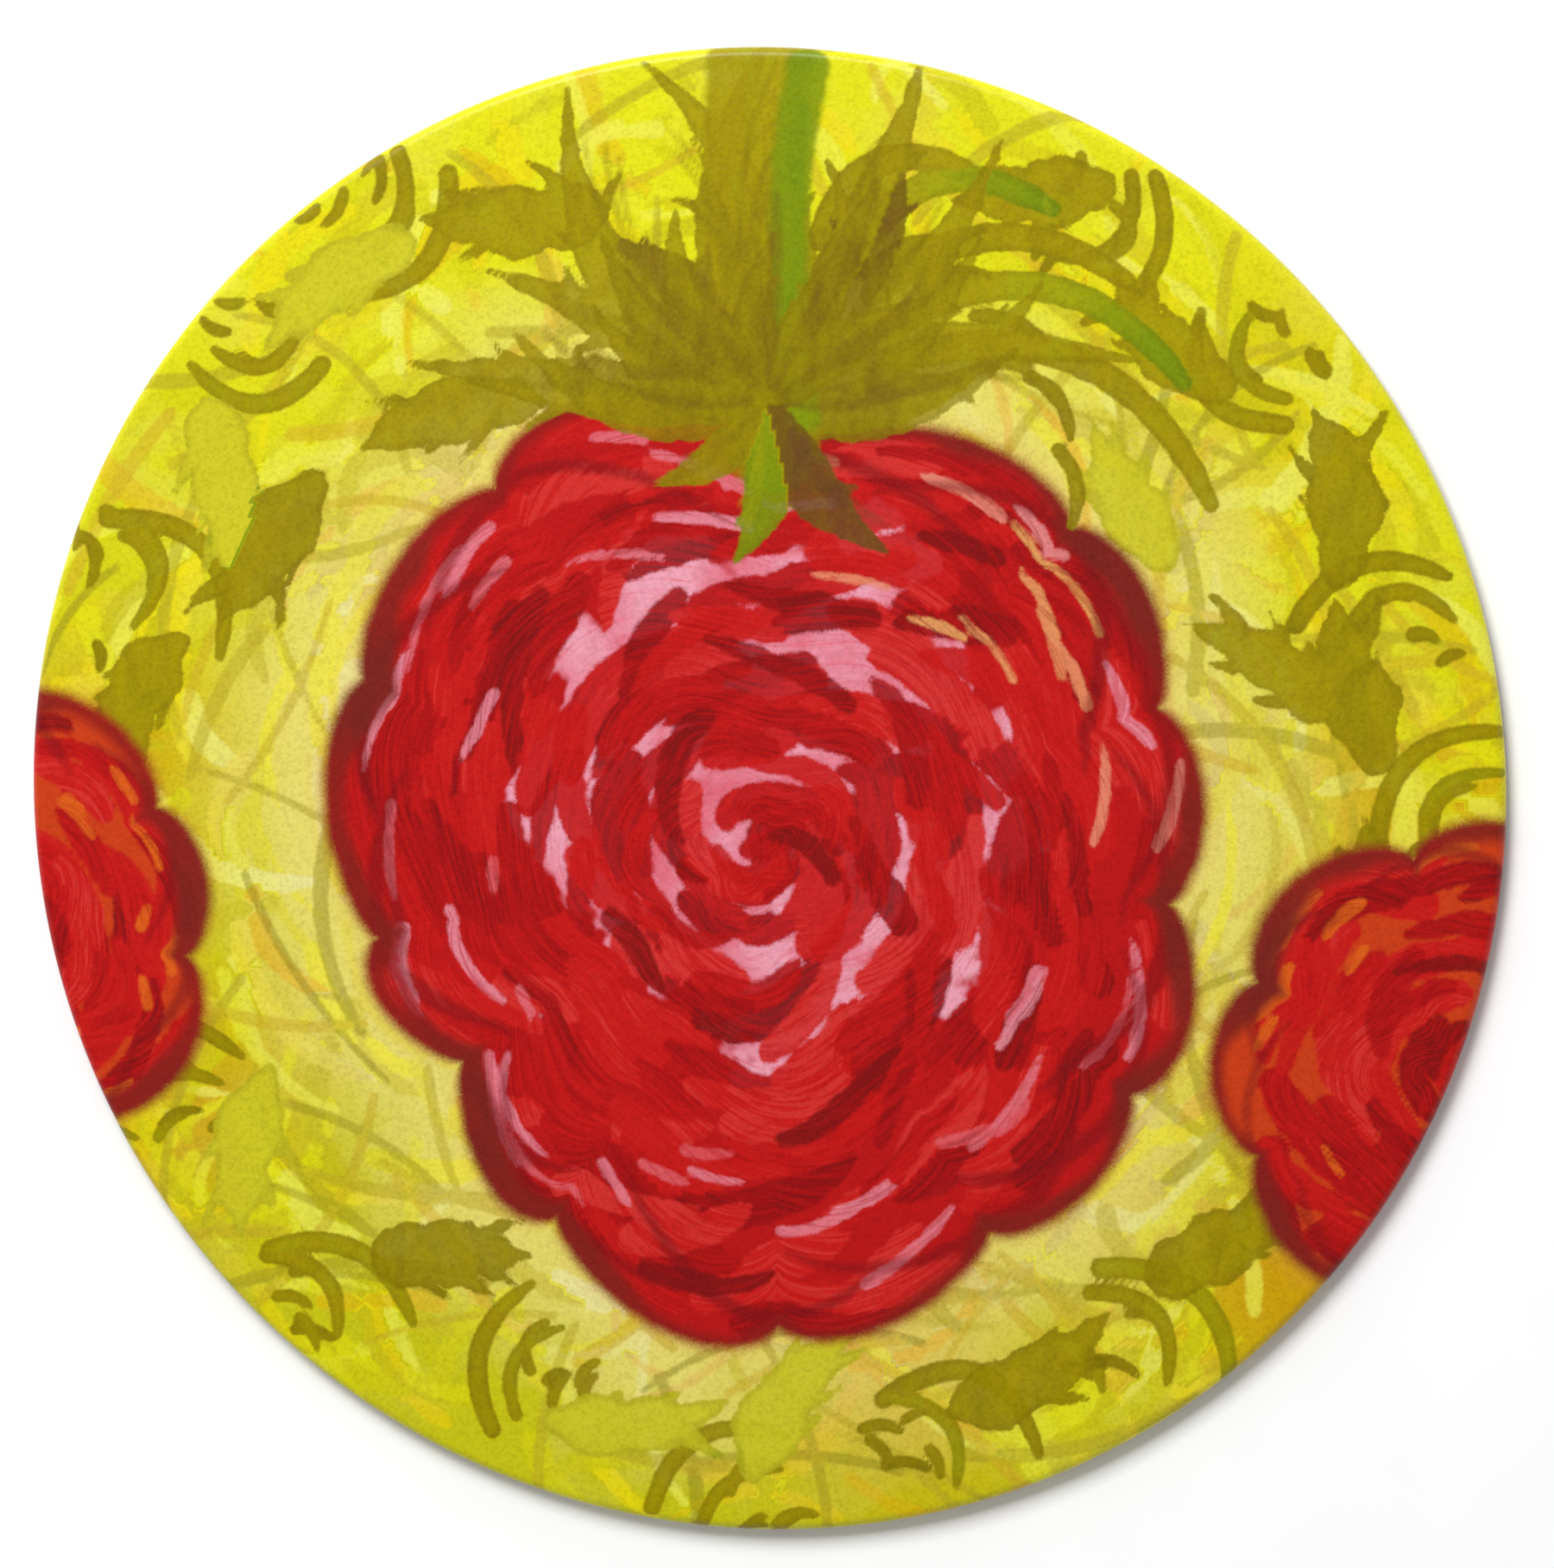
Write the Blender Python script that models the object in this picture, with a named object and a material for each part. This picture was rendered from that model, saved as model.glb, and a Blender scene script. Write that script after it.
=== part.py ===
"""A round placemat: a hardboard disc with a printed sheet formed over its edge, and a cork underside.

Metres, +Z up. The origin is the centre of the underside, and the top of the print is towards +Y.
"""

import math

import bmesh
import bpy

# Driving dimensions.
DIAMETER = 0.290            # over the wrapped edge
THICKNESS = 0.0050          # from the table to the printed face
EDGE_RADIUS = 0.0018        # rounding of the top edge, measured outside the sheet
SHEET_THICKNESS = 0.0005
CORK_THICKNESS = 0.0012
CORK_INSET = 0.0015         # how far the cork's rim lies in from the wrapped edge
GLUE_GAP = 0.0003           # left between bonded pieces

# How finely the turned pieces are faceted.
SEGMENTS = 120              # around the axis
ARC_STEPS = 4               # along a rounded edge
MERGE_DISTANCE = 0.00001
SHARP_ANGLE = math.radians(40)

# Worked out from the driving dimensions.
RADIUS = DIAMETER / 2
BOARD_RADIUS = RADIUS - SHEET_THICKNESS - GLUE_GAP
BOARD_BOTTOM = CORK_THICKNESS + GLUE_GAP
BOARD_TOP = THICKNESS - SHEET_THICKNESS - GLUE_GAP
BOARD_EDGE_RADIUS = EDGE_RADIUS - SHEET_THICKNESS - GLUE_GAP


def clear_scene():
    for obj in list(bpy.data.objects):
        bpy.data.objects.remove(obj, do_unlink=True)


def material(name, colour, roughness, metallic=0.0):
    """A Principled BSDF material with a plain colour."""
    mat = bpy.data.materials.new(name)
    mat.use_nodes = True
    shader = mat.node_tree.nodes["Principled BSDF"]
    shader.inputs["Base Color"].default_value = (*colour, 1.0)
    shader.inputs["Roughness"].default_value = roughness
    shader.inputs["Metallic"].default_value = metallic
    mat.diffuse_color = (*colour, 1.0)
    return mat


def rounded_corner(outer_radius, top, corner_radius):
    """Profile points (radius, height) from the flat top round to the upright side."""
    points = []
    for step in range(ARC_STEPS + 1):
        angle = math.radians(90) * (1 - step / ARC_STEPS)
        out = outer_radius - corner_radius + corner_radius * math.cos(angle)
        up = top - corner_radius + corner_radius * math.sin(angle)
        points.append((out, up))
    return points


def turned(name, profile, mat):
    """A closed solid made by turning a profile, which starts and ends on the Z axis."""
    bm = bmesh.new()
    verts = [bm.verts.new((out, 0.0, up)) for out, up in profile]
    edges = [bm.edges.new(pair) for pair in zip(verts, verts[1:])]
    bmesh.ops.spin(
        bm,
        geom=verts + edges,
        axis=(0, 0, 1),
        cent=(0, 0, 0),
        angle=math.radians(360),
        steps=SEGMENTS,
    )
    bmesh.ops.remove_doubles(bm, verts=bm.verts, dist=MERGE_DISTANCE)
    bmesh.ops.recalc_face_normals(bm, faces=bm.faces)
    mesh = bpy.data.meshes.new(name)
    bm.to_mesh(mesh)
    bm.free()
    mesh.materials.append(mat)
    mesh.shade_smooth()
    mesh.set_sharp_from_angle(angle=SHARP_ANGLE)
    obj = bpy.data.objects.new(name, mesh)
    bpy.context.scene.collection.objects.link(obj)
    return obj


def printed_sheet():
    """The printed sheet: flat on top, rounded over the edge and cut off level with the board's underside."""
    inner_radius = RADIUS - SHEET_THICKNESS
    inner_top = THICKNESS - SHEET_THICKNESS
    outside = rounded_corner(RADIUS, THICKNESS, EDGE_RADIUS)
    inside = rounded_corner(inner_radius, inner_top, EDGE_RADIUS - SHEET_THICKNESS)
    profile = [(0.0, THICKNESS)] + outside
    profile += [(RADIUS, BOARD_BOTTOM), (inner_radius, BOARD_BOTTOM)]
    profile += inside[::-1] + [(0.0, inner_top)]
    return turned("printed_sheet", profile, material("printed_sheet", (0.78, 0.76, 0.08), 0.35))


def hardboard_core():
    """The stiff board that gives the mat its shape, with its top edge rounded to suit the sheet."""
    profile = [(0.0, BOARD_TOP)]
    profile += rounded_corner(BOARD_RADIUS, BOARD_TOP, BOARD_EDGE_RADIUS)
    profile += [(BOARD_RADIUS, BOARD_BOTTOM), (0.0, BOARD_BOTTOM)]
    return turned("hardboard_core", profile, material("hardboard_core", (0.20, 0.11, 0.05), 0.8))


def cork_backing():
    """The cork disc under the board, set in a little so that it doesn't show from above."""
    cork_radius = RADIUS - CORK_INSET
    profile = [(0.0, CORK_THICKNESS), (cork_radius, CORK_THICKNESS), (cork_radius, 0.0), (0.0, 0.0)]
    return turned("cork_backing", profile, material("cork_backing", (0.52, 0.34, 0.18), 0.9))


def main():
    clear_scene()
    printed_sheet()
    hardboard_core()
    cork_backing()


main()
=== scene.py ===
"""Looks for the round placemat: its printed top sheet, its hardboard core and its cork underside.

The artwork on the sheet is laid out in millimetres from the middle of the mat, +x right, +y up.
"""

import math

import bpy
import numpy as np
from mathutils import Matrix, Vector


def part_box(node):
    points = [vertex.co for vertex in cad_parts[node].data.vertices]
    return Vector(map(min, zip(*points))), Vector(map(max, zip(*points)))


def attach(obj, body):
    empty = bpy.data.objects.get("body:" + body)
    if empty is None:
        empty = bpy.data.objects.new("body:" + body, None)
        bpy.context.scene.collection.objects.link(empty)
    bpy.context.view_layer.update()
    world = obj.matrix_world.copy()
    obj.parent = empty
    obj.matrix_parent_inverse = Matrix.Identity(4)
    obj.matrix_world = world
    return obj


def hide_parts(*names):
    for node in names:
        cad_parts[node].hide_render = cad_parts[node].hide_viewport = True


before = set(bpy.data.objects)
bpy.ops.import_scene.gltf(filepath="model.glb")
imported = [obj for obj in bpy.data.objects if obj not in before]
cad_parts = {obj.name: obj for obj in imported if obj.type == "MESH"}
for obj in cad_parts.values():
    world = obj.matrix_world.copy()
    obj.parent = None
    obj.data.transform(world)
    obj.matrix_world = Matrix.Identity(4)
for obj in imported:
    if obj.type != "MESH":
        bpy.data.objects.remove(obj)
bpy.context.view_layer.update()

MM = 0.001                   # the sizes below are in millimetres
SEED = 11
FAR = 60.0                   # a distance that no stroke's edge reaches
MARGIN = 5.0                 # how far outside a stroke its distances are still worked out

sheet_low, sheet_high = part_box("printed_sheet")
RADIUS = (sheet_high.x - sheet_low.x) / 2 / MM
TOP = sheet_high.z / MM
HEM = sheet_low.z / MM
SHEET = 0.5                  # thickness of the printed sheet
EDGE = 1.8                   # radius of its rounded edge
FLAT = RADIUS - EDGE         # radius of its flat face


# ---------------------------------------------------------------- the sheet's mesh

GRID = 280                   # cells across the flat face
ARC_STEPS = 6                # along the rounded edge


def concentric(a, b):
    """Maps the square -1..1 onto the unit disc, square rings onto circles."""
    radius = np.where(np.abs(a) > np.abs(b), a, b)
    safe = np.where(radius == 0, 1.0, radius)
    angle = np.where(np.abs(a) > np.abs(b), np.pi / 4 * b / safe, np.pi / 2 - np.pi / 4 * a / safe)
    return radius * np.cos(angle), radius * np.sin(angle)


def grid_border(n):
    """Indices of the grid's outer points, anticlockwise."""
    def at(i, j):
        return i * (n + 1) + j
    right = [at(n, j) for j in range(n)]
    top = [at(i, n) for i in range(n, 0, -1)]
    left = [at(0, j) for j in range(n, 0, -1)]
    bottom = [at(i, 0) for i in range(n)]
    return np.array(right + top + left + bottom)


def edge_profile():
    """(radius, height) of each ring outside the flat face, down the outside and back up the inside."""
    turn = np.linspace(90, 0, ARC_STEPS + 1) * math.pi / 180
    outer = [(FLAT + EDGE * math.cos(t), TOP - EDGE + EDGE * math.sin(t)) for t in turn[1:]]
    small = EDGE - SHEET
    back = turn[::-2]
    inner = [(FLAT + small * math.cos(t), TOP - EDGE + small * math.sin(t)) for t in back]
    return outer + [(RADIUS, HEM), (RADIUS - SHEET, HEM)] + inner


def sheet_mesh():
    """The printed sheet as one closed shell. Returns the mesh and its points in millimetres."""
    step = np.linspace(-1, 1, GRID + 1)
    a, b = np.meshgrid(step, step, indexing="ij")
    x, y = concentric(a, b)
    points = [np.column_stack([x.ravel() * FLAT, y.ravel() * FLAT, np.full(x.size, TOP)])]
    index = np.arange((GRID + 1) ** 2).reshape(GRID + 1, GRID + 1)
    cells = [index[:-1, :-1], index[1:, :-1], index[1:, 1:], index[:-1, 1:]]
    quads = [np.stack([c.ravel() for c in cells], axis=1)]
    ring = grid_border(GRID)
    border = points[0][ring, :2] / FLAT
    total = points[0].shape[0]
    for radius, height in edge_profile():
        points.append(np.column_stack([border * radius, np.full(len(ring), height)]))
        outer = np.arange(total, total + len(ring))
        total += len(ring)
        quads.append(np.stack([ring, outer, np.roll(outer, -1), np.roll(ring, -1)], axis=1))
        ring = outer
    points.append(np.array([[0.0, 0.0, TOP - SHEET]]))
    fan = [(int(p), total, int(q)) for p, q in zip(ring, np.roll(ring, -1))]
    points = np.concatenate(points)
    faces = np.concatenate(quads).tolist() + fan
    mesh = bpy.data.meshes.new("printed_top")
    mesh.from_pydata((points * MM).tolist(), [], faces)
    mesh.shade_smooth()
    mesh.set_sharp_from_angle(angle=math.radians(50))
    return mesh, points


def add_bake_map(mesh, points):
    """A flat map for baking: the face from above, its edge around it, the hidden inside in a corner."""
    radius = np.hypot(points[:, 0], points[:, 1])
    unit = points[:, :2] / np.maximum(radius, 1e-6)[:, None]
    drop = TOP - points[:, 2]
    unrolled = np.where(radius <= FLAT + 1e-6, radius, FLAT + (radius - FLAT) + drop)
    reach = FLAT + EDGE + (TOP - HEM)
    outside = 0.5 + unit * (unrolled / reach * 0.49)[:, None]
    inside = 0.93 + unit * (radius / RADIUS * 0.05)[:, None]
    corner = np.empty(len(mesh.loops), dtype=np.int32)
    mesh.loops.foreach_get("vertex_index", corner)
    sizes = np.array([p.loop_total for p in mesh.polygons])
    first_hidden = GRID * GRID + (ARC_STEPS + 1) * 4 * GRID
    hidden = np.repeat(np.arange(len(sizes)) >= first_hidden, sizes)
    uv = np.where(hidden[:, None], inside[corner], outside[corner])
    layer = mesh.uv_layers.new(name="OFBake")
    layer.data.foreach_set("uv", uv.astype(np.float32).ravel())


def store(mesh, name, values):
    """Keeps one number or one vector per point for the material to read."""
    values = np.asarray(values, dtype=np.float32)
    if values.ndim == 1:
        mesh.attributes.new(name, "FLOAT", "POINT").data.foreach_set("value", values)
    else:
        mesh.attributes.new(name, "FLOAT_VECTOR", "POINT").data.foreach_set("vector", values.ravel())


# ---------------------------------------------------------------- strokes

def smoothstep(value, low, high):
    t = np.clip((value - low) / (high - low), 0, 1)
    return t * t * (3 - 2 * t)


def heading(degrees):
    return np.array([math.cos(math.radians(degrees)), math.sin(math.radians(degrees))])


def arc(centre, radius, start, sweep, count=12):
    """Points along an arc of a circle, angles in degrees."""
    turn = np.radians(start + sweep * np.linspace(0, 1, count))
    return np.asarray(centre) + radius * np.column_stack([np.cos(turn), np.sin(turn)])


def bent(start, end, bend, count=12):
    """Points along a bow from start to end that stands off sideways by bend times its length."""
    start = np.asarray(start, dtype=float)
    along = np.asarray(end, dtype=float) - start
    side = np.array([-along[1], along[0]])
    t = np.linspace(0, 1, count)[:, None]
    return start + along * t + side * (4 * bend * t * (1 - t))


def tapered(width, count=12, blunt=0.35, tail=0.15):
    """Half-widths of a brush stroke that is fullest a third of the way along and ends in a point."""
    t = np.linspace(0, 1, count)
    body = np.sin(np.pi * np.clip(0.12 + 0.88 * t, 0, 1)) ** blunt
    return width / 2 * (tail + (1 - tail) * body * (1 - 0.35 * t))


def leaf_widths(width, draw, count=24):
    """Half-widths of a leaf's body: a narrow neck, a full middle and a long pointed tip."""
    t = np.linspace(0, 1, count)
    lean = draw.uniform(0.62, 0.95)
    body = np.sin(np.pi * t ** lean) ** 0.9
    torn = 1 + 0.14 * np.sin(2 * np.pi * (draw.uniform(2.6, 3.6) * t + draw.uniform(0, 1)))
    return width / 2 * np.maximum(body * torn, 0.05)


class Layer:
    """How far each point is inside the nearest stroke, negative outside, and that stroke's tone."""

    def __init__(self, xy):
        self.xy = xy
        self.cover = np.full(len(xy), -FAR)
        self.tone = np.zeros(len(xy))

    def stroke(self, points, half_widths, tone, tone_end=None):
        """Adds a stroke along the points, its tone changing from one end to the other."""
        tone_end = tone if tone_end is None else tone_end
        reach = np.max(half_widths) + MARGIN
        low = points.min(axis=0) - reach
        high = points.max(axis=0) + reach
        near = np.flatnonzero(((self.xy > low) & (self.xy < high)).all(axis=1))
        spots = self.xy[near]
        best = np.full(len(near), -FAR)
        tones = np.zeros(len(near))
        steps = len(points) - 1
        for i in range(steps):
            along = points[i + 1] - points[i]
            t = np.clip(((spots - points[i]) @ along) / max(along @ along, 1e-9), 0, 1)
            gap = np.hypot(*(spots - points[i] - t[:, None] * along).T)
            depth = half_widths[i] + (half_widths[i + 1] - half_widths[i]) * t - gap
            closer = depth > best
            best = np.where(closer, depth, best)
            tones = np.where(closer, tone + (tone_end - tone) * (i + t) / steps, tones)
        wins = best > self.cover[near]
        self.cover[near] = np.where(wins, best, self.cover[near])
        self.tone[near] = np.where(wins, tones, self.tone[near])

    def leaf(self, middle, turn, length, width, tone, draw, teeth=5):
        """A leaf like a torn flame: a pointed body with points along both sides, leaning forwards."""
        half = heading(turn) * length / 2
        bow = draw.uniform(-0.12, 0.12)
        path = bent(np.asarray(middle) - half, np.asarray(middle) + half, bow, 24)
        self.stroke(path, leaf_widths(width * 0.80, draw), tone, tone + 0.04)
        for k in range(teeth):
            side = 1 if k % 2 else -1
            place = 0.16 + 0.62 * (k + draw.uniform(0, 0.6)) / teeth
            root = path[int(place * (len(path) - 1))]
            out = heading(turn + side * draw.uniform(26, 52)) * width * draw.uniform(0.55, 0.85)
            widths = np.linspace(width * draw.uniform(0.15, 0.22), 0.5, 8)
            self.stroke(bent(root, root + out, 0.10 * side, 8), widths, tone + draw.uniform(-0.04, 0.04))

    def save(self, mesh, name):
        store(mesh, name, self.cover)
        store(mesh, name + "_tone", self.tone)


def polar(angle, distance):
    return heading(angle) * distance


# ---------------------------------------------------------------- the berries

def notches_round(distance, bulge, count, first, draw):
    """Notches round a small berry: (angle, distance, bulge) of each."""
    out = []
    for k in range(count):
        angle = first + 360 * k / count + draw.uniform(-7, 7)
        out.append((angle, distance * draw.uniform(0.96, 1.04), bulge * draw.uniform(0.8, 1.2)))
    return out


class Berry:
    """A raspberry seen from the side, as an outline of drupelets that bulge between notches."""

    def __init__(self, centre, notches, turns=2.7, across=4.8, calm=24.0):
        self.centre = np.asarray(centre, dtype=float)
        self.notches = notches
        self.turns = turns
        self.across = across
        self.calm = calm
        self.size = sum(distance for _, distance, _ in notches) / len(notches)

    def outline(self, angle):
        """Distance of the smooth outline from the middle, and how far the drupelet stands off it."""
        first = self.notches[0][0]
        turn = (np.asarray(angle, dtype=float) - first) % 360
        marks = np.array([a - first for a, _, _ in self.notches] + [360.0])
        places = np.array([d for _, d, _ in self.notches] + [self.notches[0][1]])
        bulges = np.array([b for _, _, b in self.notches])
        k = np.clip(np.searchsorted(marks, turn, side="right") - 1, 0, len(bulges) - 1)
        t = (turn - marks[k]) / (marks[k + 1] - marks[k])
        smooth = places[k] + (places[k + 1] - places[k]) * t * t * (3 - 2 * t)
        return smooth, bulges[k] * np.sin(np.pi * t) ** 0.55

    def depth(self, xy):
        """How far inside the outline each point is, in mm, negative outside."""
        away = xy - self.centre
        smooth, bulge = self.outline(np.degrees(np.arctan2(away[:, 1], away[:, 0])))
        return smooth + bulge - np.hypot(away[:, 0], away[:, 1])

    def ring(self, start, sweep, fraction, drift=0.0, count=12):
        """Points round the berry at a fraction of the way to its edge, drifting in or out."""
        angle = np.linspace(start, start + sweep, count)
        part = fraction + drift * np.linspace(0, 1, count)
        smooth, bulge = self.outline(angle)
        distance = part * (smooth + bulge * np.clip(part, 0, 1) ** 3)
        turn = np.radians(angle)
        return self.centre + distance[:, None] * np.column_stack([np.cos(turn), np.sin(turn)])

    def strokes_field(self, xy):
        """Coordinates in brush-mark sizes: round the berry in the first two, inwards in the third."""
        away = xy - self.centre
        r = np.hypot(away[:, 0], away[:, 1])
        soft = np.sqrt(r ** 2 + self.calm ** 2)
        theta = np.arctan2(away[:, 1], away[:, 0])
        smooth, bulge = self.outline(np.degrees(theta))
        near_rim = smoothstep(r / smooth, 0.6, 1.0)
        inward = (1 - r / smooth) * self.size + near_rim * bulge
        inward = inward + 2.4 * np.sin(2 * theta + r / 19) + 1.6 * np.sin(5 * theta - r / 13)
        return np.column_stack([away / soft[:, None] * self.turns, inward / self.across])


# Notches between the big berry's drupelets, anticlockwise: angle, distance, and how far the next bulges.
MAIN_NOTCHES = [
    (-7, 80, 6), (20, 82, 6), (46, 87, 6), (88, 78, 10), (127, 87, 5), (158, 85, 5), (194, 79, 6),
    (216, 73, 7), (241, 84, 8), (272, 94, 6), (301, 87, 6), (327, 86, 7),
]


# Layers of red strokes: rows on the big berry, share left out, width, how much darker.
RED_ROWS = {
    "reds_a": (14, 0.06, 8.6, 0.0),
    "reds_b": (16, 0.26, 6.6, 0.0),
    "reds_c": (12, 0.72, 5.0, 0.35),
}


def main_berry():
    return Berry((1, -10), MAIN_NOTCHES)


def side_berries(draw):
    small = {"turns": 2.2, "across": 3.8, "calm": 14.0}
    return [
        Berry((138, -52), notches_round(44, 6, 8, 20, draw), **small),
        Berry((-157, -28), notches_round(44, 6, 8, 35, draw), **small),
    ]


# ---------------------------------------------------------------- laying out the picture

# Stretches of border between the stem and the side berries: first and last angle, marks along it.
STRETCHES = [(113, 170, 7), (205, 329, 13), (352, 426, 9)]
BORDER = 122                 # its distance from the mat's middle
PALE_GREEN = 0.95            # tone of the faded leaves
PALE_SHARE = 0.22

# Leaves further in: angle round the mat and distance from its middle.
INNER_LEAVES = [(128, 98), (152, 100), (40, 96), (14, 104)]

# Fans of sepals in each layer: how many, first and last heading, length, width, tones at root and tip.
CALYX = (2, 76)
SEPAL_FANS = {
    "calyx": [(9, 4, 172, 68, 12.5, 0.38, 0.42), (2, 62, 140, 58, 12.5, 0.30, 0.12)],
    "calyx_2": [(7, 12, 162, 50, 11.5, 0.26, 0.36)],
    "sepals": [(5, 32, 148, 36, 11, 0.30, 0.40), (1, 307, 307, 34, 13, 0.12, 0.03),
               (1, 263, 263, 38, 12, 0.68, 0.76), (1, 214, 214, 30, 10, 0.32, 0.40)],
}


def paint_curl(layer, middle, turn, size, draw):
    """Loose bows, one inside another, with short dashes in front of them."""
    ahead = heading(turn)
    side = heading(turn + 90)
    for shift, reach, width in ((0.0, 1.0, 4.4), (0.34, 0.66, 3.6), (0.16, 0.34, 2.8)):
        base = middle + ahead * shift * size + side * size * draw.uniform(-0.2, 0.2)
        half = heading(turn + 90 + draw.uniform(-22, 22)) * size * reach * 0.85
        path = bent(base - half, base + half, draw.uniform(0.20, 0.36))
        tone = draw.uniform(0.34, 0.46)
        layer.stroke(path, tapered(width * draw.uniform(0.85, 1.15), tail=0.45), tone, tone + 0.05)
    for _ in range(4):
        spot = middle + ahead * size * draw.uniform(0.45, 0.95) + side * size * draw.uniform(-0.6, 0.6)
        half = heading(turn + 90 + draw.uniform(-40, 40)) * size * draw.uniform(0.10, 0.24)
        layer.stroke(bent(spot - half, spot + half, 0.14), tapered(2.8, tail=0.4), draw.uniform(0.32, 0.46))


def paint_border(leaves, curls, draw):
    """A leaf and a group of curls by turns round the border, and a few more leaves further in."""
    angles = np.concatenate([np.linspace(*stretch) for stretch in STRETCHES])
    places = [(angle, BORDER) for angle in angles]
    for k, (angle, distance) in enumerate(places + INNER_LEAVES):
        middle = polar(angle + draw.normal(0, 1.5), distance + draw.normal(0, 4))
        if k % 2 and k < len(places):
            paint_curl(curls, middle * 1.03, angle + draw.uniform(-110, 110), draw.uniform(15, 21), draw)
            continue
        tone = PALE_GREEN if draw.uniform(0, 1) < PALE_SHARE else draw.uniform(0.34, 0.42)
        turn = angle + draw.uniform(40, 150)
        leaves.leaf(middle, turn, draw.uniform(30, 39), draw.uniform(14, 17), tone, draw)


def paint_tendrils(layer, draw):
    """Arching tendrils that fan out to the right of the calyx, some of them green at the end."""
    root = np.array(CALYX)
    for k in range(5):
        start = root + heading(72 - 13 * k) * (34 - 2 * k)
        end = root + heading(50 - 15.5 * k) * (60 + 7 * k)
        tone_end = 0.78 if k % 2 else 0.44
        layer.stroke(bent(start, end, draw.uniform(0.20, 0.28)), tapered(6.2, tail=0.55), 0.34, tone_end)
        dash = root + heading(45 - 15 * k) * (40 + 5 * k)
        half = heading(-25 * k + 20) * draw.uniform(6, 10)
        layer.stroke(bent(dash - half, dash + half, 0.16), tapered(3.4, tail=0.5), 0.36)


def paint_faint_lines(layer, draw):
    """Long see-through lines that cross in the ground."""
    for _ in range(110):
        middle = polar(draw.uniform(0, 360), draw.uniform(84, 142))
        radius = draw.uniform(35, 110)
        turn = draw.uniform(0, 360)
        sweep = math.degrees(draw.uniform(22, 60) / radius)
        path = arc(middle - heading(turn) * radius, radius, turn - sweep / 2, sweep)
        layer.stroke(path, tapered(draw.uniform(1.6, 3.4), tail=0.6), draw.uniform(0, 1))


def paint_ground_marks(layer, draw, count):
    """Broad loose brush marks in the ground, round the berry near it and any way further out."""
    for _ in range(count):
        angle = draw.uniform(0, 360)
        distance = 145 * math.sqrt(draw.uniform(0.22, 1.0))
        loose = float(smoothstep(distance, 80, 140))
        turn = angle + 90 + draw.normal(0, 14 + 50 * loose)
        half = heading(turn) * draw.uniform(6, 22)
        middle = polar(angle, distance)
        path = bent(middle - half, middle + half, -0.10 - 0.12 * draw.uniform(0, 1))
        layer.stroke(path, tapered(draw.uniform(2.0, 6.0), tail=0.35), draw.uniform(0, 1))


def paint_folds(layer, berry, draw, width):
    """Dark bows that run in from the notches, where one drupelet lies over the next."""
    for angle, _, _ in berry.notches:
        for start, sweep, drift in ((2, -34, -0.16), (-4, 24, -0.12)):
            sweep = sweep * draw.uniform(0.7, 1.3)
            path = berry.ring(angle + start, sweep, 0.985, drift * draw.uniform(0.6, 1.4))
            layer.stroke(path, tapered(width * draw.uniform(0.6, 1.1), blunt=0.7), draw.uniform(0, 1))


def paint_gleams(layer, berry, draw, count, width=2.2):
    """Thin light bows that follow the berry's edge."""
    for _ in range(count):
        start = draw.uniform(0, 360)
        fraction = 0.93 - 0.30 * draw.uniform(0, 1) ** 1.4
        path = berry.ring(start, draw.uniform(6, 20), fraction, draw.normal(0, 0.025))
        warm = float(smoothstep(math.cos(math.radians(start - 30)), 0.3, 0.9))
        tone = draw.uniform(0, 0.55) + 0.45 * warm
        layer.stroke(path, tapered(width * draw.uniform(0.8, 1.3), tail=0.45), tone)


def paint_reds(layer, berry, draw, rows, skip, width, dark):
    """Curved brush strokes round the berry, row after row, leaving out the share to skip."""
    for row in range(rows):
        fraction = (row + 0.5) / rows * 0.98
        count = max(2, round(2 * math.pi * fraction * berry.size / 27))
        first = draw.uniform(0, 360)
        for k in range(count):
            start = first + 360 * k / count + draw.uniform(-14, 14)
            sweep = 360 / count * draw.uniform(0.55, 1.25)
            path = berry.ring(start, sweep, fraction + draw.normal(0, 0.03), draw.normal(-0.05, 0.08))
            half_widths = tapered(width * draw.uniform(0.7, 1.35), blunt=0.45, tail=0.25)
            tone = draw.uniform(0.1, 1.0) - dark
            if draw.uniform(0, 1) > skip:
                layer.stroke(path, half_widths, max(tone, 0.0))


def paint_stem(layer):
    """A broad pale wash from the mat's edge to the calyx."""
    path = bent((1.5, 152), (3, 68), -0.03)
    layer.stroke(path, np.linspace(10.4, 9.0, 12), 0.46, 0.36)


def paint_stripe(layer):
    """The darker green stripe down the right of the stem."""
    path = bent((10.0, 141), (9.0, 74), -0.05)
    layer.stroke(path, np.linspace(4.3, 3.4, 12), 0.74, 0.70)


def sepal_fans(fans, draw):
    """Sepals fanned out from the calyx: tip, sideways bow, width and tones of each."""
    out = []
    for count, first, last, length, width, tone, tone_end in fans:
        for angle in np.linspace(first, last, count) + draw.normal(0, 3, count):
            tip = CALYX + heading(angle) * length * draw.uniform(0.82, 1.12)
            bow = draw.uniform(-0.17, 0.17)
            out.append((tip, bow, width * draw.uniform(0.85, 1.1), tone, tone_end + draw.normal(0, 0.03)))
    return out


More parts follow.
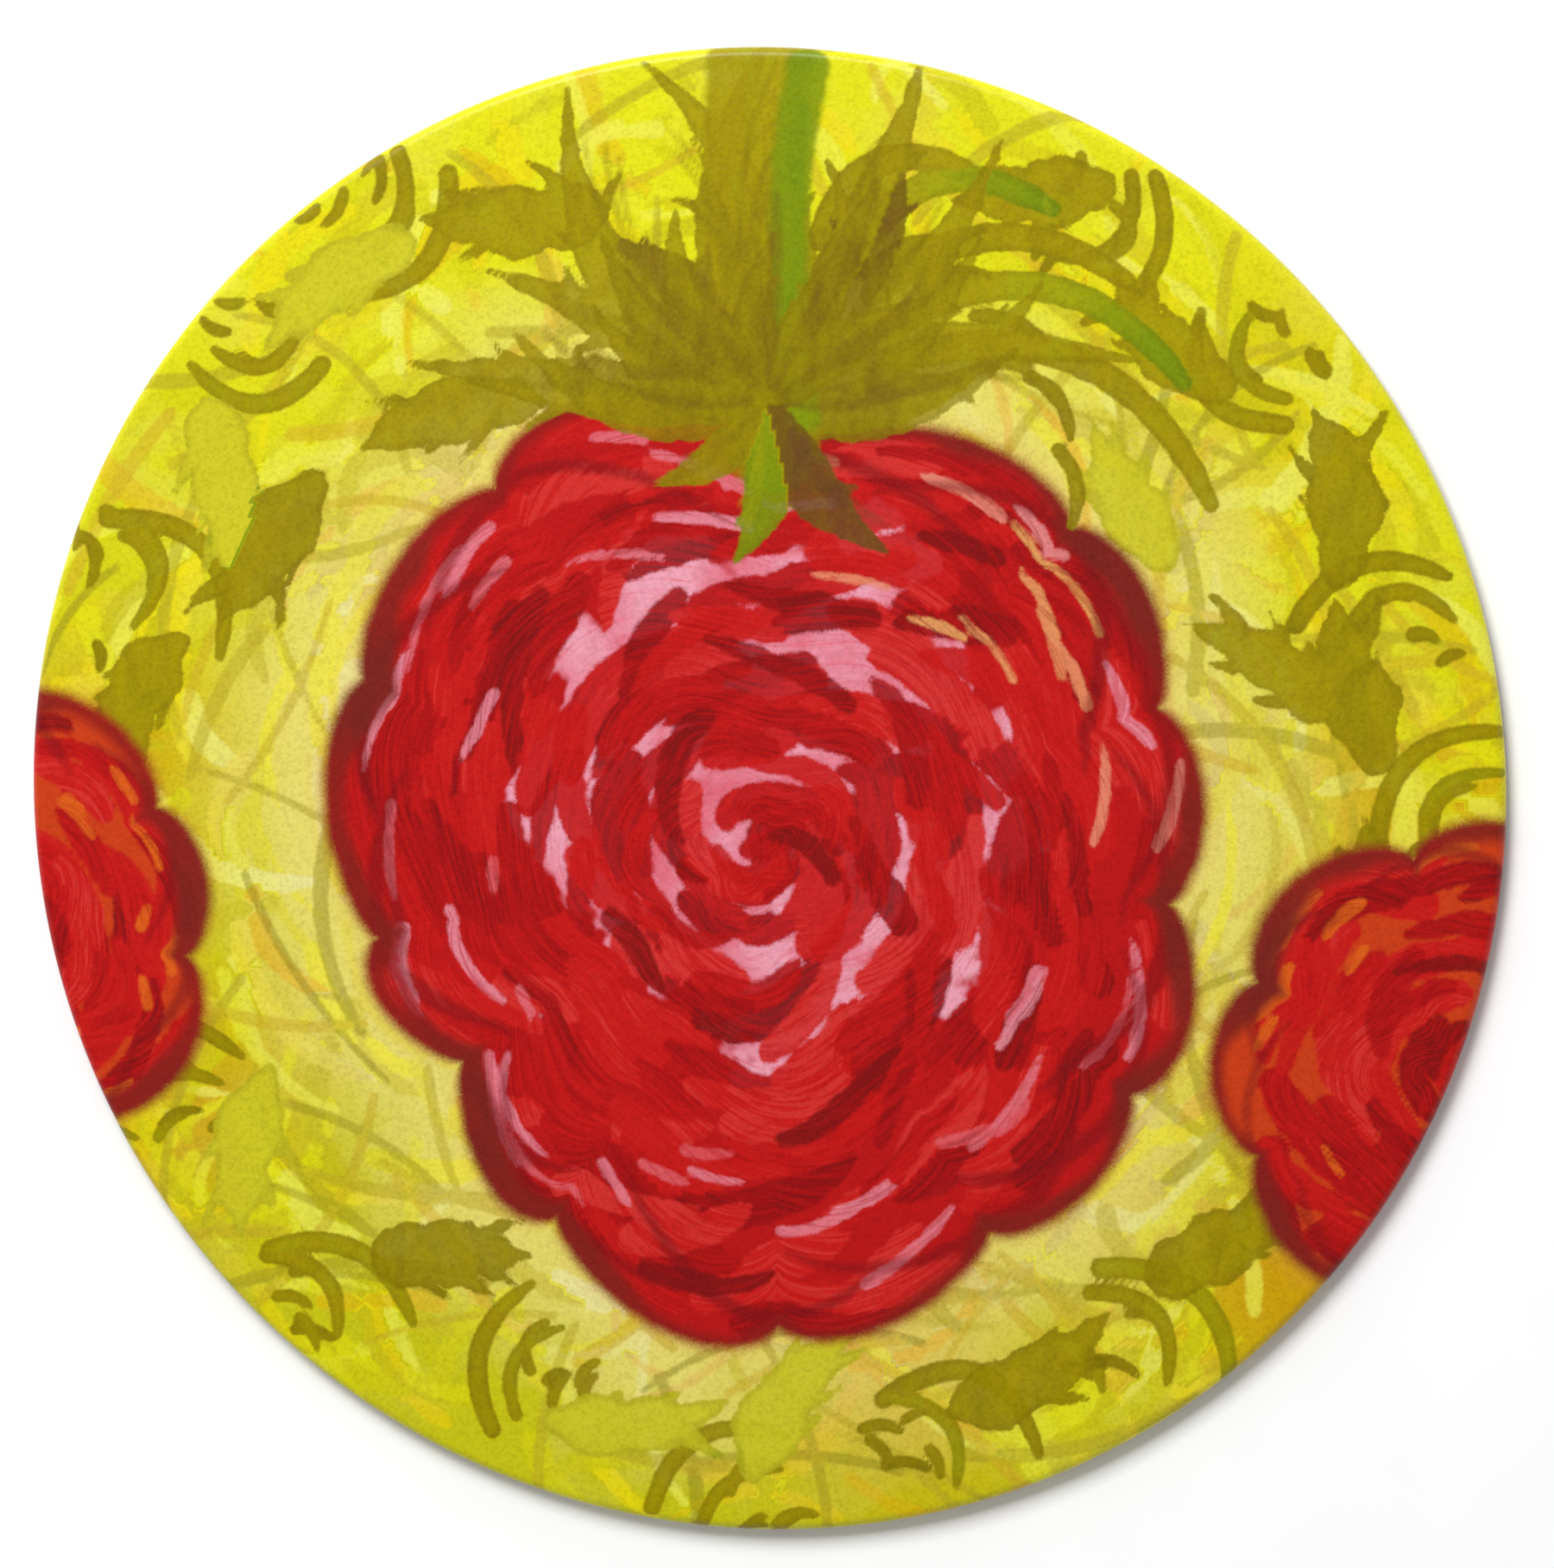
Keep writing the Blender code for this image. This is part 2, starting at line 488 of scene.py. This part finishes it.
def paint_sepals(layer, sepals):
    """Pointed strokes from the calyx outwards, each with a torn point on both sides."""
    for tip, bow, width, tone, tone_end in sepals:
        path = bent(CALYX, tip, bow, 16)
        t = np.linspace(0, 1, len(path))
        half = width / 2 * (0.30 + 0.70 * np.sin(np.pi * t ** 0.75)) * (1 - t ** 4) * 0.86 + 0.5
        layer.stroke(path, half, tone, tone_end)
        for place, side in ((6, 1), (9, -1)):
            forwards = (path[-1] - path[place]) * 0.42
            out = forwards + side * np.array([-forwards[1], forwards[0]]) * 0.55
            widths = np.linspace(width * 0.20, 0.5, 12)
            layer.stroke(bent(path[place], path[place] + out, -0.08 * side), widths, tone, tone_end)


def paint_veins(layer, sepals, draw):
    """Thin dark streaks that run out along the sepals."""
    root = np.array(CALYX)
    for tip, bow, width, tone, _ in sepals:
        for _ in range(3):
            along = tip - root + draw.uniform(-1, 1, 2) * width * 0.24
            near = root + along * draw.uniform(0.05, 0.4)
            end = root + along * draw.uniform(0.55, 0.9)
            layer.stroke(bent(near, end, bow * 0.8), tapered(draw.uniform(1.6, 2.6), tail=0.3), tone - 0.12)


# Amber patches in the ground: x, y, radius, strength.
AMBER_PATCHES = [
    (104, -92, 26, 0.9), (-116, -62, 22, 0.75), (126, 4, 18, 0.8),
    (-128, 8, 20, 0.7), (96, 78, 22, 0.35), (30, -120, 24, 0.35),
]
LAYERS = (
    "marks_a", "marks_b", "faint", "curls", "leaves", "folds", "gleams", "reds_a", "reds_b", "reds_c",
    "calyx", "calyx_2", "tendrils", "stem", "stripe", "sepals", "veins",
)


def ground_wash_and_light(xy, depth):
    """Soft ground colours and a painted light as weights: (how lime, how amber, how much painted light
    makes the ground lighter towards the top right) at every point.
    """
    r = np.hypot(xy[:, 0], xy[:, 1])
    lime = smoothstep(-depth, 2, 36)
    lime = np.maximum(lime, smoothstep(r, 122, 143))
    amber = np.zeros(len(xy))
    for x, y, size, weight in AMBER_PATCHES:
        apart = np.hypot(xy[:, 0] - x, xy[:, 1] - y)
        amber = np.maximum(amber, weight * np.exp(-(apart / size) ** 2))
    # painted light: this weight makes the ground lighter towards the top right
    bright = smoothstep(xy[:, 1] + 0.3 * xy[:, 0], -120, 120)
    return np.column_stack([lime, amber, bright])


def paint_picture(mesh, points):
    """Works out every layer of the picture and stores it on the mesh."""
    radius = np.hypot(points[:, 0], points[:, 1])
    drop = TOP - points[:, 2]
    unit = points[:, :2] / np.maximum(radius, 1e-6)[:, None]
    xy = np.where((radius > FLAT)[:, None], unit * (radius + drop)[:, None], points[:, :2])
    draw = np.random.default_rng(SEED)
    berries = [main_berry()] + side_berries(draw)
    depths = np.array([b.depth(xy) for b in berries])
    owner = depths.argmax(axis=0)
    fields = np.array([b.strokes_field(xy) for b in berries])
    store(mesh, "berry", depths.max(axis=0))
    store(mesh, "side", (owner > 0).astype(float))
    store(mesh, "swirl", np.take_along_axis(fields, owner[None, :, None], axis=0)[0])
    store(mesh, "wash", ground_wash_and_light(xy, depths[0]))
    store(mesh, "middle", 1 - smoothstep(np.hypot(xy[:, 0] - 2, (xy[:, 1] - 2) * 0.95), 14, 70))
    store(mesh, "face", 1 - smoothstep(radius, FLAT - 1.0, FLAT + 0.3))

    layers = {name: Layer(xy) for name in LAYERS}
    paint_ground_marks(layers["marks_a"], draw, 260)
    paint_ground_marks(layers["marks_b"], draw, 200)
    paint_faint_lines(layers["faint"], draw)
    paint_border(layers["leaves"], layers["curls"], draw)
    for berry in berries:
        scale = berry.size / berries[0].size
        paint_folds(layers["folds"], berry, draw, 1.6 + 2.6 * scale)
        paint_gleams(layers["gleams"], berry, draw, int(48 * scale))
        for name, (rows, skip, width, dark) in RED_ROWS.items():
            paint_reds(layers[name], berry, draw, int(rows * scale), skip, width, dark)
    for name, fans in SEPAL_FANS.items():
        sepals = sepal_fans(fans, draw)
        paint_sepals(layers[name], sepals)
        paint_veins(layers["veins"], sepals, draw)
    paint_tendrils(layers["tendrils"], draw)
    paint_stem(layers["stem"])
    paint_stripe(layers["stripe"])
    for name, layer in layers.items():
        layer.save(mesh, name)


# ---------------------------------------------------------------- building node materials

def linear(red, green, blue):
    """A screen colour, 0 to 255, as the linear colour a shader takes."""
    out = []
    for value in (red, green, blue):
        v = value / 255
        out.append(v / 12.92 if v <= 0.04045 else ((v + 0.055) / 1.055) ** 2.4)
    return (*out, 1.0)


class Paint:
    """A short way to write a material's nodes."""

    def __init__(self, name):
        self.material = bpy.data.materials.new(name)
        self.material.use_nodes = True
        self.tree = self.material.node_tree
        self.shader = self.tree.nodes["Principled BSDF"]

    def node(self, kind, **settings):
        made = self.tree.nodes.new(kind)
        for key, value in settings.items():
            setattr(made, key, value)
        return made

    def put(self, socket, value):
        if isinstance(value, bpy.types.NodeSocket):
            self.tree.links.new(value, socket)
        else:
            socket.default_value = value

    def math(self, operation, a, b=0.0, clamp=False):
        made = self.node("ShaderNodeMath", operation=operation, use_clamp=clamp)
        self.put(made.inputs[0], a)
        self.put(made.inputs[1], b)
        return made.outputs[0]

    def step(self, value, low, high, start=0.0, end=1.0):
        """start below low, end above high, and a smooth change between."""
        made = self.node("ShaderNodeMapRange", interpolation_type="SMOOTHSTEP")
        for socket, number in zip(made.inputs, (value, low, high, start, end)):
            self.put(socket, number)
        return made.outputs[0]

    def mix(self, amount, a, b, blend="MIX"):
        made = self.node("ShaderNodeMix", data_type="RGBA", blend_type=blend)
        self.put(made.inputs["Factor"], amount)
        self.put(made.inputs[6], a)
        self.put(made.inputs[7], b)
        return made.outputs[2]

    def number(self, name):
        return self.node("ShaderNodeAttribute", attribute_name=name).outputs["Fac"]

    def vector(self, name):
        return self.node("ShaderNodeAttribute", attribute_name=name).outputs["Vector"]

    def parts(self, vector):
        made = self.node("ShaderNodeSeparateXYZ")
        self.put(made.inputs[0], vector)
        return made.outputs

    def moved(self, vector, scale=(1, 1, 1), offset=(0, 0, 0)):
        made = self.node("ShaderNodeMapping")
        self.put(made.inputs["Vector"], vector)
        made.inputs["Scale"].default_value = scale
        made.inputs["Location"].default_value = offset
        return made.outputs[0]

    def place(self):
        """The point on the object, in metres."""
        return self.node("ShaderNodeTexCoord").outputs["Object"]

    def noise(self, vector, scale, detail=3.0, roughness=0.5, distortion=0.0):
        made = self.node("ShaderNodeTexNoise")
        self.put(made.inputs["Vector"], vector)
        made.inputs["Scale"].default_value = scale
        made.inputs["Detail"].default_value = detail
        made.inputs["Roughness"].default_value = roughness
        made.inputs["Distortion"].default_value = distortion
        return made.outputs["Fac"]

    def cells(self, vector, scale, feature="F1"):
        """Voronoi cells: distance and a random colour for each."""
        made = self.node("ShaderNodeTexVoronoi", feature=feature)
        self.put(made.inputs["Vector"], vector)
        made.inputs["Scale"].default_value = scale
        return made.outputs["Distance"], made.outputs["Color"]

    def ramp(self, value, stops, interpolation="LINEAR"):
        made = self.node("ShaderNodeValToRGB")
        made.color_ramp.interpolation = interpolation
        elements = made.color_ramp.elements
        while len(elements) < len(stops):
            elements.new(0.5)
        for element, (place, colour) in zip(elements, stops):
            element.position = place
            element.color = colour
        self.put(made.inputs[0], value)
        return made.outputs[0]


# ---------------------------------------------------------------- the printed sheet's material

GREENS = [
    (0.00, linear(98, 60, 34)), (0.15, linear(112, 88, 10)), (0.29, linear(132, 118, 1)),
    (0.43, linear(154, 138, 0)), (0.55, linear(150, 150, 4)), (0.67, linear(128, 145, 5)),
    (0.79, linear(108, 136, 6)), (0.92, linear(196, 190, 34)),
]
REDS = [
    (0.00, linear(126, 16, 18)), (0.14, linear(150, 14, 17)), (0.36, linear(172, 17, 18)),
    (0.60, linear(189, 22, 21)), (0.85, linear(194, 28, 25)), (1.00, linear(204, 48, 44)),
]


class PrintedPaint(Paint):
    """The picture's own helpers: ragged edges and the greens."""

    def __init__(self, name):
        super().__init__(name)
        self.spot = self.place()
        self.ragged = self.noise(self.spot, 230.0, 4.0, 0.6)
        self.fine = self.noise(self.spot, 2200.0, 2.0, 0.6)
        self.blotch = self.noise(self.spot, 60.0, 3.0, 0.55)
        self.water = self.noise(self.moved(self.spot, (1.0, 0.45, 1.0)), 190.0, 4.0, 0.65, 0.6)

    def edge(self, cover, ragged=0.6, soft=0.35, grain=0.3, shift=0.0):
        """0 outside a stroke and 1 inside, with a torn and slightly grainy edge. Sizes in mm."""
        torn = self.math("MULTIPLY", self.math("SUBTRACT", self.ragged, 0.5), ragged * 2)
        rough = self.math("MULTIPLY", self.math("SUBTRACT", self.fine, 0.5), grain * 2)
        value = self.math("ADD", self.math("ADD", cover, torn), rough)
        return self.step(value, shift - soft, shift + soft)

    def greens(self, tone, spread=0.34):
        wander = self.math("MULTIPLY", self.math("SUBTRACT", self.water, 0.5), spread)
        return self.ramp(self.math("ADD", tone, wander), GREENS)

    def wash_over(self, under, name, opacity, ragged, soft=0.35, pool=0.25):
        """Lays one green layer over the picture, darker where the colour pools along its edges."""
        cover = self.number(name)
        colour = self.greens(self.number(name + "_tone"))
        pooled = self.step(cover, 0.2, 1.8, pool, 0.0)
        colour = self.mix(pooled, colour, linear(104, 84, 2))
        amount = self.math("MULTIPLY", self.edge(cover, ragged, soft), opacity)
        return self.mix(amount, under, colour)


def paint_ground(p):
    """Cream round the berry, turning lime and amber outwards, in loose curved brush marks."""
    lime, amber, bright = p.parts(p.vector("wash"))
    patch = p.math("MULTIPLY", p.math("SUBTRACT", p.blotch, 0.5), 0.9)
    lime = p.math("ADD", lime, patch, clamp=True)
    # painted light: the far lime is made lighter towards the top right
    far = p.mix(bright, linear(194, 190, 20), linear(216, 214, 20))
    colour = p.mix(lime, linear(222, 210, 104), far)
    colour = p.mix(p.math("MULTIPLY", amber, 0.90), colour, linear(200, 144, 4))
    pale_tints = [(0.0, linear(230, 222, 156)), (0.25, linear(220, 208, 76)), (0.45, linear(232, 222, 50)),
                  (0.62, linear(196, 180, 70)), (0.82, linear(212, 196, 118)), (1.0, linear(224, 176, 54))]
    deep_tints = [(0.0, linear(228, 226, 84)), (0.2, linear(220, 218, 16)), (0.45, linear(200, 196, 10)),
                  (0.62, linear(190, 182, 18)), (0.80, linear(230, 214, 10)), (1.0, linear(206, 166, 10))]

    def tint(tone):
        return p.mix(lime, p.ramp(tone, pale_tints), p.ramp(tone, deep_tints))

    for name in ("marks_a", "marks_b"):
        amount = p.math("MULTIPLY", p.edge(p.number(name), 1.1, 0.5), 0.74)
        colour = p.mix(amount, colour, tint(p.number(name + "_tone")))
    faint = p.math("MULTIPLY", p.edge(p.number("faint"), 0.4, 0.4), 0.55)
    shade = p.ramp(p.number("faint_tone"), [(0.0, linear(138, 128, 26)), (0.5, linear(176, 160, 34)),
                                            (1.0, linear(204, 168, 36))])
    return p.mix(faint, colour, shade)


def paint_berry(p):
    """Red strokes over a pale pink ground, which shows through in the gaps between them."""
    field = p.vector("swirl")
    side = p.number("side")
    depth = p.number("berry")
    hairs = p.noise(p.moved(field, (1.6, 1.6, 7.0)), 1.0, 3.0, 0.6)
    gap = p.ramp(p.blotch, [(0.35, linear(214, 98, 114)), (0.62, linear(228, 154, 172))])
    gap = p.mix(p.step(hairs, 0.50, 0.66, 0.0, 0.45), gap, linear(214, 84, 98))
    bare = p.math("ADD", p.number("middle"), p.math("MULTIPLY", p.math("SUBTRACT", p.blotch, 0.5), 1.6))
    base = p.mix(p.step(bare, 0.30, 0.42), linear(180, 20, 21), gap)
    colour = p.mix(side, base, linear(196, 60, 22))
    for name, opacity in (("reds_a", 0.98), ("reds_b", 0.96), ("reds_c", 0.92)):
        streak = p.math("MULTIPLY", p.math("SUBTRACT", hairs, 0.5), 1.2)
        tone = p.math("ADD", p.number(name + "_tone"), streak)
        amount = p.math("MULTIPLY", p.edge(p.number(name), 1.3, 0.5, 0.4), opacity)
        colour = p.mix(amount, colour, p.ramp(tone, REDS))
    light = p.ramp(p.number("gleams_tone"), [(0.0, linear(210, 80, 86)), (0.5, linear(224, 136, 152)),
                                             (0.8, linear(222, 132, 96)), (1.0, linear(222, 168, 92))])
    light = p.mix(side, light, linear(214, 96, 24))
    strength = p.step(hairs, 0.36, 0.56, 0.45, 0.85)
    gleam = p.math("MULTIPLY", p.edge(p.number("gleams"), 0.9, 0.4), strength)
    colour = p.mix(gleam, colour, light)
    fold = p.edge(p.number("folds"), 0.7, 1.0)
    colour = p.mix(p.math("MULTIPLY", fold, 0.60), colour, linear(118, 16, 22))
    uneven = p.noise(p.moved(p.spot, (1, 1, 1), (0.3, 0.1, 0)), 22.0, 2.0, 0.5)
    reach = p.math("MULTIPLY", p.step(uneven, 0.36, 0.66), 5.0)
    reach = p.math("ADD", reach, p.step(p.parts(p.spot)[0], -0.08, 0.04, 2.0, 0.0))
    rim = p.step(p.math("SUBTRACT", depth, reach), -0.5, 3.2, 0.90, 0.0)
    brown = p.ramp(uneven, [(0.35, linear(140, 26, 22)), (0.62, linear(114, 34, 28))])
    return p.mix(rim, colour, brown)


def paint_specks(p, colour):
    """A few small dark flecks."""
    distance, shade = p.cells(p.spot, 80.0)
    chosen = p.math("GREATER_THAN", p.parts(shade)[0], 0.90)
    size = p.math("MULTIPLY", p.parts(shade)[1], 0.075)
    ragged = p.math("MULTIPLY", p.math("SUBTRACT", p.fine, 0.5), 0.05)
    fleck = p.math("MULTIPLY", p.math("LESS_THAN", p.math("ADD", distance, ragged), size), chosen)
    return p.mix(p.math("MULTIPLY", fleck, 0.85), colour, linear(84, 30, 16))


def add_grain(p):
    """Fine pebble grain on the flat face, fading out over the rounded edge."""
    distance, _ = p.cells(p.spot, 1150.0, feature="SMOOTH_F1")
    fine = p.noise(p.spot, 900.0, 2.0, 0.55)
    height = p.math("ADD", p.math("MULTIPLY", distance, -0.8), fine)
    bump = p.node("ShaderNodeBump")
    bump.inputs["Distance"].default_value = 0.00005
    p.put(bump.inputs["Strength"], p.math("MULTIPLY", p.number("face"), 0.9))
    p.put(bump.inputs["Height"], height)
    p.put(p.shader.inputs["Normal"], bump.outputs[0])
    p.put(p.shader.inputs["Roughness"], p.step(p.fine, 0.3, 0.7, 0.26, 0.36))


def printed_material():
    p = PrintedPaint("printed_sheet")
    colour = paint_ground(p)
    depth = p.number("berry")
    haze = p.step(depth, -5.0, 0.0, 0.0, 0.16)
    colour = p.mix(haze, colour, linear(196, 110, 60))
    colour = p.wash_over(colour, "curls", 0.94, 0.45)
    colour = p.wash_over(colour, "leaves", 0.92, 1.5)
    halo = p.edge(depth, 0.5, 1.7, grain=0.9, shift=-0.4)
    colour = p.mix(halo, colour, paint_berry(p))
    colour = p.wash_over(colour, "tendrils", 0.92, 0.7)
    colour = p.wash_over(colour, "calyx", 0.88, 1.3)
    colour = p.wash_over(colour, "calyx_2", 0.80, 1.3)
    colour = p.wash_over(colour, "stem", 0.90, 0.9, soft=1.2, pool=0.12)
    colour = p.wash_over(colour, "stripe", 0.90, 1.1, soft=1.0, pool=0.10)
    colour = p.wash_over(colour, "sepals", 0.90, 1.1)
    colour = p.wash_over(colour, "veins", 0.45, 0.7, soft=0.7, pool=0.0)
    colour = paint_specks(p, colour)
    speckle = p.noise(p.spot, 1300.0, 2.0, 0.7)
    colour = p.mix(p.step(speckle, 0.40, 0.72, 0.0, 0.24), colour, linear(150, 140, 110), "MULTIPLY")
    p.put(p.shader.inputs["Base Color"], colour)
    p.shader.inputs["Specular IOR Level"].default_value = 0.18
    add_grain(p)
    return p.material


# ---------------------------------------------------------------- cork and hardboard

def cork_material():
    """Pressed cork: tan and brown granules with dark gaps and small sunk hollows, which are also painted
    darker as shade.
    """
    p = Paint("cork")
    spot = p.place()
    distance, shade = p.cells(spot, 620.0)
    small, small_shade = p.cells(spot, 1400.0)
    granule = p.ramp(p.parts(shade)[0], [(0.0, linear(120, 82, 48)), (0.25, linear(164, 118, 74)),
                                         (0.6, linear(196, 152, 104)), (1.0, linear(214, 174, 126))])
    chips = p.ramp(p.parts(small_shade)[1], [(0.0, linear(92, 58, 34)), (0.5, linear(188, 142, 94)),
                                             (1.0, linear(220, 182, 134))])
    colour = p.mix(0.40, granule, chips)
    dark_pits_and_shade = p.step(p.noise(spot, 520.0, 4.0, 0.65), 0.60, 0.72)
    # dark cork in the gaps, and painted shade in the hollows that the bump sinks
    colour = p.mix(p.math("MULTIPLY", dark_pits_and_shade, 0.75), colour, linear(70, 44, 26))
    p.put(p.shader.inputs["Base Color"], colour)
    height = p.math("SUBTRACT", p.math("MULTIPLY", small, 0.6), p.math("MULTIPLY", dark_pits_and_shade, 1.2))
    bump = p.node("ShaderNodeBump")
    bump.inputs["Strength"].default_value = 0.8
    bump.inputs["Distance"].default_value = 0.0002
    p.put(bump.inputs["Height"], p.math("ADD", height, distance))
    p.put(p.shader.inputs["Normal"], bump.outputs[0])
    p.shader.inputs["Roughness"].default_value = 0.88
    p.shader.inputs["Specular IOR Level"].default_value = 0.25
    return p.material


def hardboard_material():
    """Pressed brown wood fibre."""
    p = Paint("hardboard")
    spot = p.place()
    fibres = p.noise(p.moved(spot, (1, 1, 4)), 900.0, 5.0, 0.7, 1.2)
    colour = p.ramp(fibres, [(0.3, linear(84, 54, 32)), (0.5, linear(122, 84, 52)),
                             (0.7, linear(158, 116, 76))])
    p.put(p.shader.inputs["Base Color"], colour)
    bump = p.node("ShaderNodeBump")
    bump.inputs["Strength"].default_value = 0.6
    bump.inputs["Distance"].default_value = 0.0001
    p.put(bump.inputs["Height"], fibres)
    p.put(p.shader.inputs["Normal"], bump.outputs[0])
    p.put(p.shader.inputs["Roughness"], p.step(fibres, 0.3, 0.7, 0.72, 0.88))
    return p.material


# ---------------------------------------------------------------- pieces

def make_printed_top():
    mesh, points = sheet_mesh()
    paint_picture(mesh, points)
    add_bake_map(mesh, points)
    mesh.materials.append(printed_material())
    piece = bpy.data.objects.new("printed_top", mesh)
    bpy.context.scene.collection.objects.link(piece)
    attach(piece, "root")
    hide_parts("printed_sheet")


def finish_cad_nodes():
    for node, made in (("cork_backing", cork_material()), ("hardboard_core", hardboard_material())):
        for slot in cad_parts[node].material_slots:
            slot.material = made


# ---------------------------------------------------------------- floor, light and camera

CAMERA_DISTANCE = 1.30
CAMERA_TILT = math.radians(10)        # away from straight above
CAMERA_SIDE = math.radians(33)        # towards the upper right of the picture
VIEW_HALF_WIDTH = 0.1511              # what fits from the picture's middle to its side
AIM = Vector((0.0040, 0.0025, TOP * MM))
PICTURE = (1800, 1816)
FLOOR_SIZE = 12.0
FLOOR_GAP = 0.00002                   # keeps the floor clear of the cork's face
FADE = (0.25, 0.90, 1.0, 0.10)        # the sky's light: heights where the fade starts and ends, strengths


def make_floor():
    bpy.ops.mesh.primitive_plane_add(size=FLOOR_SIZE, location=(0, 0, -FLOOR_GAP))
    floor = bpy.context.object
    floor.name = "floor"
    p = Paint("floor")
    grain = p.noise(p.place(), 40.0, 2.0)
    colour = p.mix(p.step(grain, 0.3, 0.7), (0.975, 0.975, 0.975, 1), (0.99, 0.99, 0.99, 1))
    p.put(p.shader.inputs["Base Color"], colour)
    p.shader.inputs["Roughness"].default_value = 0.9
    p.shader.inputs["Specular IOR Level"].default_value = 0.1
    floor.data.materials.append(p.material)


def area_light(name, direction, distance, size, power):
    light = bpy.data.lights.new(name, "AREA")
    light.shape = "SQUARE"
    light.size = size
    light.energy = power
    lamp = bpy.data.objects.new(name, light)
    toward = Vector(direction).normalized()
    lamp.location = toward * distance
    lamp.rotation_mode = "QUATERNION"
    lamp.rotation_quaternion = toward.to_track_quat("Z", "Y")
    lamp.visible_camera = False
    bpy.context.scene.collection.objects.link(lamp)


def make_light():
    """One soft lamp from the top of the picture, and a sky that is bright low down and dim overhead."""
    area_light("key", (-0.26, 0.72, 0.90), 1.6, 0.75, 25.5)
    world = bpy.data.worlds.new("studio")
    bpy.context.scene.world = world
    world.use_nodes = True
    tree = world.node_tree
    background = tree.nodes["Background"]
    background.inputs["Color"].default_value = (1.0, 1.0, 1.0, 1.0)
    up = tree.nodes.new("ShaderNodeSeparateXYZ")
    tree.links.new(tree.nodes.new("ShaderNodeTexCoord").outputs["Generated"], up.inputs[0])
    fade = tree.nodes.new("ShaderNodeMapRange")
    fade.interpolation_type = "SMOOTHSTEP"
    for socket, number in zip(list(fade.inputs)[1:5], FADE):
        socket.default_value = number
    tree.links.new(up.outputs["Z"], fade.inputs[0])
    tree.links.new(fade.outputs[0], background.inputs["Strength"])


def make_camera():
    data = bpy.data.cameras.new("camera")
    camera = bpy.data.objects.new("camera", data)
    bpy.context.scene.collection.objects.link(camera)
    flat = math.sin(CAMERA_TILT)
    back = Vector((flat * math.cos(CAMERA_SIDE), flat * math.sin(CAMERA_SIDE), math.cos(CAMERA_TILT)))
    camera.location = AIM + back * CAMERA_DISTANCE
    right = Vector((0, 1, 0)).cross(back).normalized()
    up = back.cross(right)
    camera.rotation_mode = "QUATERNION"
    camera.rotation_quaternion = Matrix((right, up, back)).transposed().to_quaternion()
    data.sensor_width = 36.0
    longest = VIEW_HALF_WIDTH * max(PICTURE) / PICTURE[0]
    data.lens = data.sensor_width / 2 * CAMERA_DISTANCE / longest
    data.clip_start = 0.05
    data.clip_end = 50.0
    bpy.context.scene.camera = camera


bpy.context.scene.view_settings.view_transform = "Standard"
make_printed_top()
finish_cad_nodes()
make_floor()
make_light()
make_camera()
